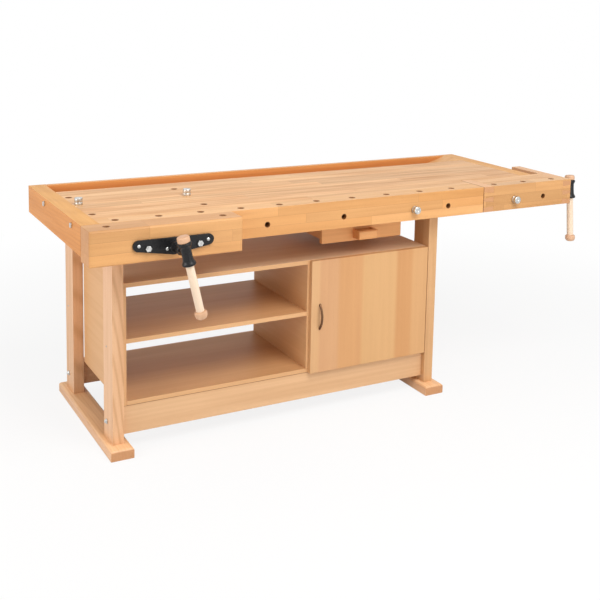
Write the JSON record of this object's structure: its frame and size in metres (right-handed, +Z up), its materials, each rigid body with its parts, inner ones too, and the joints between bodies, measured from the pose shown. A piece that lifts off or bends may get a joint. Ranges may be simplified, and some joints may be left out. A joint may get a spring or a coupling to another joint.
{
  "type": "woodworking bench with vises",
  "caption": "Beech joiner's workbench with a front vise, a tail vise, dog holes, a tool tray, an open shelf, a cupboard and a hung drawer.",
  "frame": {"origin": "on the floor, under the middle of the box round the whole bench", "axes": "+X along the bench towards the tail vise, +Y from the worker's side to the back, +Z up"},
  "size_m": [2.2604, 0.9776, 0.886],
  "materials": {
    "beech_top": "satin oiled beech",
    "beech_apron": "satin oiled beech",
    "beech_cap": "satin oiled beech",
    "beech_tray": "satin beech board",
    "beech_frame": "satin oiled beech",
    "beech_board": "satin veneered board",
    "beech_door": "satin veneered board",
    "beech_bar": "satin turned beech",
    "beech_knob": "satin turned beech",
    "zinc": "bright zinc plated",
    "steel": "turned steel",
    "black_iron": "gloss black paint",
    "bronze": "antique bronze"
  },
  "bodies": {
    "bench": {"worktop_slab": "beech_top", "front_beam": "beech_apron", "back_rail": "beech_apron", "tray_bottom": "beech_tray", "tray_ramp": "beech_top", "left_end_cap": "beech_cap", "right_end_cap": "beech_cap", "frame_bolts": "zinc", "left_front_leg": "beech_frame", "left_rear_leg": "beech_frame", "left_foot": "beech_frame", "left_top_rail": "beech_frame", "right_front_leg": "beech_frame", "right_rear_leg": "beech_frame", "right_foot": "beech_frame", "right_top_rail": "beech_frame", "front_stretcher": "beech_frame", "rear_stretcher": "beech_frame", "cabinet_top": "beech_board", "cabinet_left_side": "beech_board", "cabinet_right_side": "beech_board", "cabinet_bottom": "beech_board", "cabinet_plinth": "beech_board", "cabinet_divider": "beech_board", "open_shelf": "beech_board", "cupboard_back": "beech_board", "drawer_hangers": "beech_board", "front_vise_nut_plate": "black_iron", "tail_vise_guide_block": "beech_board", "tail_vise_nut_plate": "black_iron"},
    "front_jaw": {"front_vise_jaw": "beech_apron", "front_vise_plate": "black_iron", "front_vise_bolts": "zinc", "front_vise_guide_rods": "steel"},
    "front_screw": {"front_vise_screw": "steel", "front_vise_hub": "black_iron"},
    "front_handle": {"front_handle_bar": "beech_bar", "front_handle_knobs": "beech_knob"},
    "tail_vise": {"tail_vise_front_board": "beech_apron", "tail_vise_jaw_block": "beech_cap", "tail_vise_end_block": "beech_cap", "tail_vise_cover": "beech_top", "tail_vise_flange": "black_iron", "tail_vise_guide_rod": "steel"},
    "tail_screw": {"tail_vise_screw": "steel", "tail_vise_hub": "black_iron"},
    "tail_handle": {"tail_handle_bar": "beech_bar", "tail_handle_knobs": "beech_knob"},
    "cupboard_door": {"cupboard_door": "beech_door", "door_handle": "bronze", "cupboard_hinges": "zinc"},
    "drawer": {"drawer_front": "beech_board", "drawer_pull": "beech_board", "drawer_sides": "beech_board", "drawer_back": "beech_board", "drawer_bottom": "beech_board"},
    "left_top_dog": {"left_top_dog": "zinc"},
    "right_top_dog": {"right_top_dog": "zinc"},
    "beam_side_dog": {"beam_side_dog": "zinc"},
    "tail_side_dog": {"tail_side_dog": "zinc"}
  },
  "joints": [
    {"name": "front_jaw_slide", "type": "slide", "parent": "bench", "child": "front_jaw", "axis": [0, -1, 0], "range_m": [0, 0.1801]},
    {"name": "front_screw_turn", "type": "hinge", "parent": "front_jaw", "child": "front_screw", "pos_m": [-0.83525, -0.46525, 0.787], "axis": [0, -1, 0], "range_deg": [0, 10800]},
    {"name": "front_handle_slide", "type": "slide", "parent": "front_screw", "child": "front_handle", "axis": [-0.2368, 0, 0.9715], "range_m": [0, 0.164]},
    {"name": "tail_vise_slide", "type": "slide", "parent": "bench", "child": "tail_vise", "axis": [1, 0, 0], "range_m": [0, 0.1501]},
    {"name": "tail_screw_turn", "type": "hinge", "parent": "tail_vise", "child": "tail_screw", "pos_m": [1.10675, -0.15625, 0.793], "axis": [1, 0, 0], "range_deg": [0, 9000]},
    {"name": "tail_handle_slide", "type": "slide", "parent": "tail_screw", "child": "tail_handle", "axis": [0, 0.0854, 0.9963], "range_m": [0, 0.164]},
    {"name": "door_hinge", "type": "hinge", "parent": "bench", "child": "cupboard_door", "pos_m": [0.33375, -0.17825, 0.3915], "axis": [0, 0, 1], "range_deg": [0, 95]},
    {"name": "drawer_slide", "type": "slide", "parent": "bench", "child": "drawer", "axis": [0, -1, 0], "range_m": [0, 0.3]},
    {"name": "left_top_dog_lift", "type": "slide", "parent": "bench", "child": "left_top_dog", "axis": [0, 0, 1], "range_m": [0, 0.04]},
    {"name": "right_top_dog_lift", "type": "slide", "parent": "bench", "child": "right_top_dog", "axis": [0, 0, 1], "range_m": [0, 0.04]},
    {"name": "beam_side_dog_pull", "type": "slide", "parent": "bench", "child": "beam_side_dog", "axis": [0, -1, 0], "range_m": [0, 0.04]},
    {"name": "tail_side_dog_pull", "type": "slide", "parent": "tail_vise", "child": "tail_side_dog", "axis": [0, -1, 0], "range_m": [0, 0.04]}
  ],
  "couplings": [
    {"joint": "front_jaw_slide", "follows": "front_screw_turn", "m_per_rad": 0.00095493},
    {"joint": "tail_vise_slide", "follows": "tail_screw_turn", "m_per_rad": 0.00095493}
  ]
}
